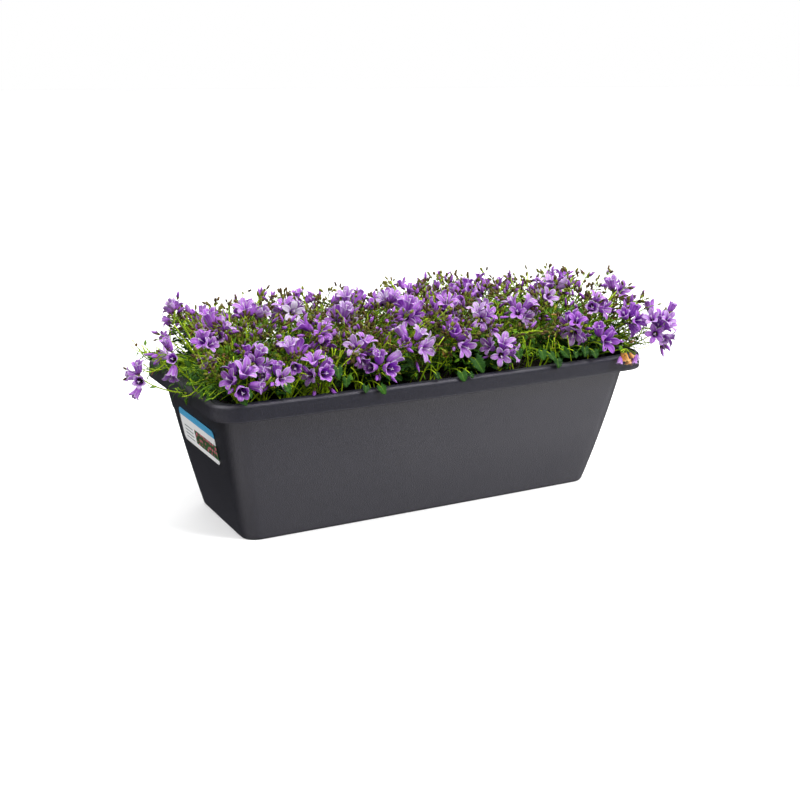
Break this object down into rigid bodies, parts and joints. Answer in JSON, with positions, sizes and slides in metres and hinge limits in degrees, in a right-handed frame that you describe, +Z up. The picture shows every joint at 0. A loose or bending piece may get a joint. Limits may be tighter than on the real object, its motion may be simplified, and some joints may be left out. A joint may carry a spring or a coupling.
{
  "type": "planted window box",
  "caption": "Long tapered plastic window box with a rolled rim, filled with soil and planted with lilac bellflowers that mound over it and trail past its ends.",
  "frame": {"origin": "centre of the box's flat base, on the surface it stands on", "axes": "+X along the box towards its right end as seen from the front, -Y out of its front, +Z up"},
  "size_m": [0.6287, 0.2774, 0.2393],
  "materials": {
    "box_plastic": "matte",
    "potting_soil": "matte",
    "label_paper": "satin",
    "foliage": "satin",
    "petals": "matte",
    "wilted_petals": "matte"
  },
  "bodies": {
    "root": {"window_box": "box_plastic", "soil": "potting_soil", "label": "label_paper", "plant_1": "foliage", "plant_2": "foliage", "plant_3": "foliage", "plant_4": "foliage", "bunch_01": "petals", "bunch_02": "petals", "bunch_03": "petals", "bunch_04": "petals", "bunch_05": "petals", "bunch_06": "petals", "bunch_07": "petals", "bunch_08": "petals", "bunch_09": "petals", "bunch_10": "petals", "bunch_11": "petals", "bunch_12": "petals", "bunch_13": "petals", "bunch_14": "petals", "bunch_15": "petals", "bunch_16": "petals", "bunch_17": "petals", "bunch_18": "petals", "bunch_19": "petals", "bunch_20": "petals", "bunch_21": "petals", "bunch_22": "petals", "bunch_23": "petals", "bunch_24": "petals", "bunch_25": "petals", "bunch_26": "petals", "bunch_27": "petals", "bunch_28": "petals", "bunch_29": "petals", "bunch_30": "petals", "bunch_31": "petals", "bunch_32": "petals", "bunch_33": "petals", "bunch_34": "petals", "bunch_35": "petals", "bunch_36": "petals", "bunch_37": "petals", "bunch_38": "petals", "bunch_39": "petals", "bunch_40": "petals", "bunch_41": "petals", "bunch_42": "petals", "bunch_43": "petals", "bunch_44": "petals", "bunch_45": "petals", "bunch_46": "petals", "bunch_47": "petals", "bunch_48": "petals", "bunch_49": "petals", "bunch_50": "petals", "wilted_bunch": "wilted_petals"}
  },
  "joints": []
}
